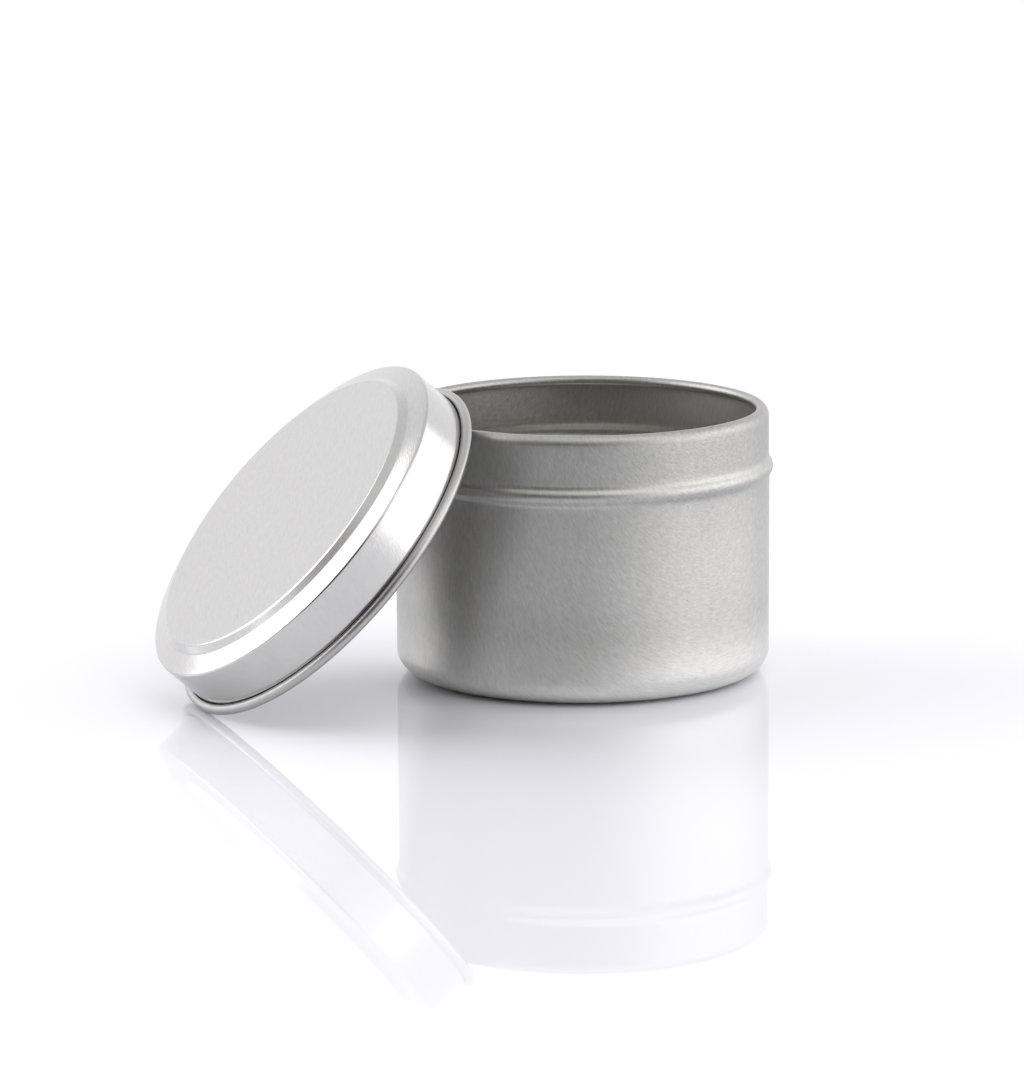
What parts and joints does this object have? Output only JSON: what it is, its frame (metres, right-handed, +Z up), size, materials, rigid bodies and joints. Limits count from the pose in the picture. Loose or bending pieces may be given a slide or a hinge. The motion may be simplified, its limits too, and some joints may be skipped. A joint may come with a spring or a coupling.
{
  "type": "candle tin",
  "caption": "Round seamless tinplate candle tin with a rolled rim and a lid bead, standing open with its slip lid leaning on the rim.",
  "frame": {"origin": "middle of the body's standing ring, on the surface it stands on", "axes": "+Z up along the body's axis; the lid leans with its foot towards -X"},
  "size_m": [0.1311, 0.0862, 0.0664],
  "materials": {
    "body_tinplate": "satin tinplate, fine streaky grain",
    "lid_tinplate": "satin tinplate, fine streaky grain"
  },
  "bodies": {
    "tin": {"tin_body": "body_tinplate"},
    "lid": {"lid": "lid_tinplate"}
  },
  "joints": [
    {"name": "lid_lift", "type": "slide", "parent": "tin", "child": "lid", "axis": [-0.7443, 0, 0.6678], "range_m": [0, 0.06]}
  ]
}
